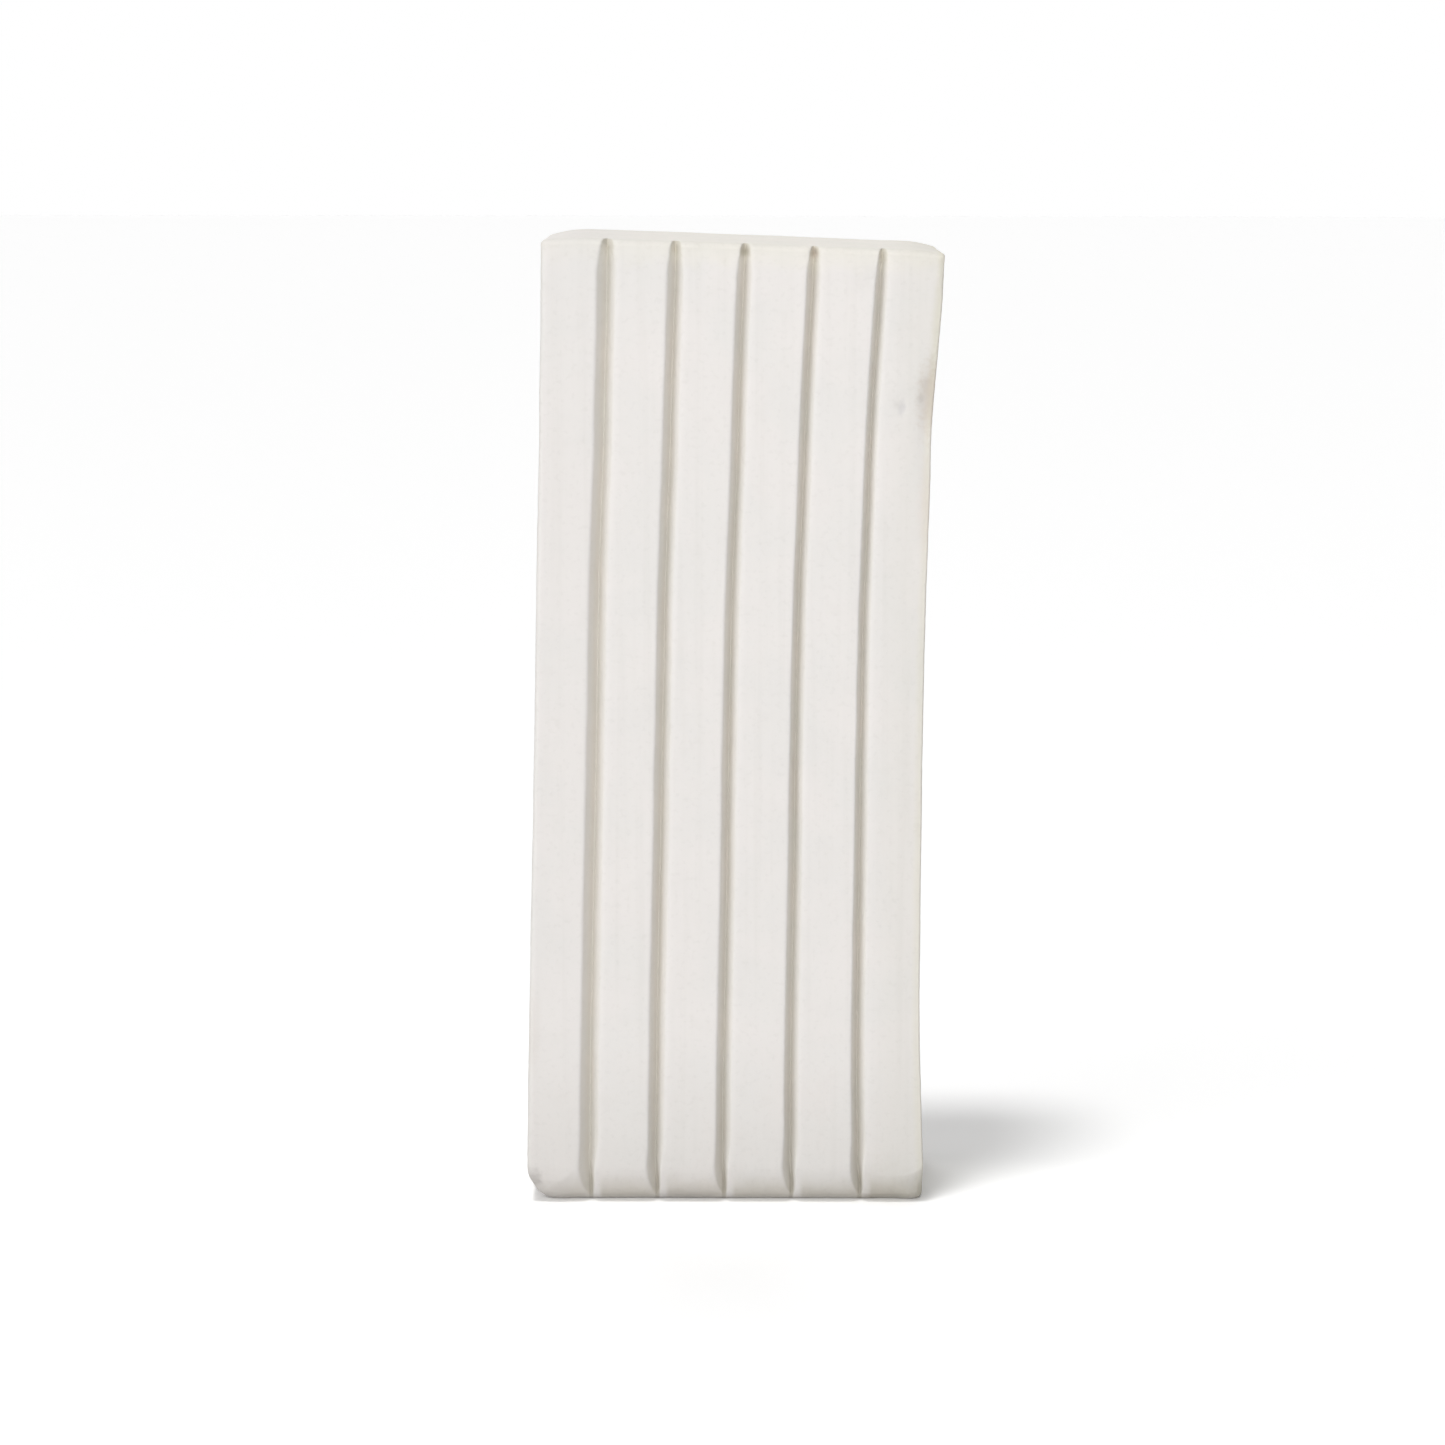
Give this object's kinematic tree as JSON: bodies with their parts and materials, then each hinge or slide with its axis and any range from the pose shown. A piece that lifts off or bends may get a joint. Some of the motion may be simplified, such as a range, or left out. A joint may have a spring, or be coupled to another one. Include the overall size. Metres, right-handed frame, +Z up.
{
  "type": "gymnastics chalk block",
  "caption": "Slab of white gymnastics chalk standing on end, scored down its front with long grooves into sticks that can be broken off.",
  "frame": {"origin": "under the middle of the cake, at the level of the foot that it stands on", "axes": "+Z up the length of the cake, +X across the sticks to the right seen from the scored face, and the scored face looks along -Y"},
  "size_m": [0.0538, 0.0254, 0.1272],
  "materials": {
    "chalk": "matte"
  },
  "bodies": {
    "root": {"chalk_stick_1": "chalk", "chalk_stick_2": "chalk", "chalk_stick_3": "chalk", "chalk_stick_4": "chalk", "chalk_stick_5": "chalk", "chalk_stick_6": "chalk"}
  },
  "joints": []
}
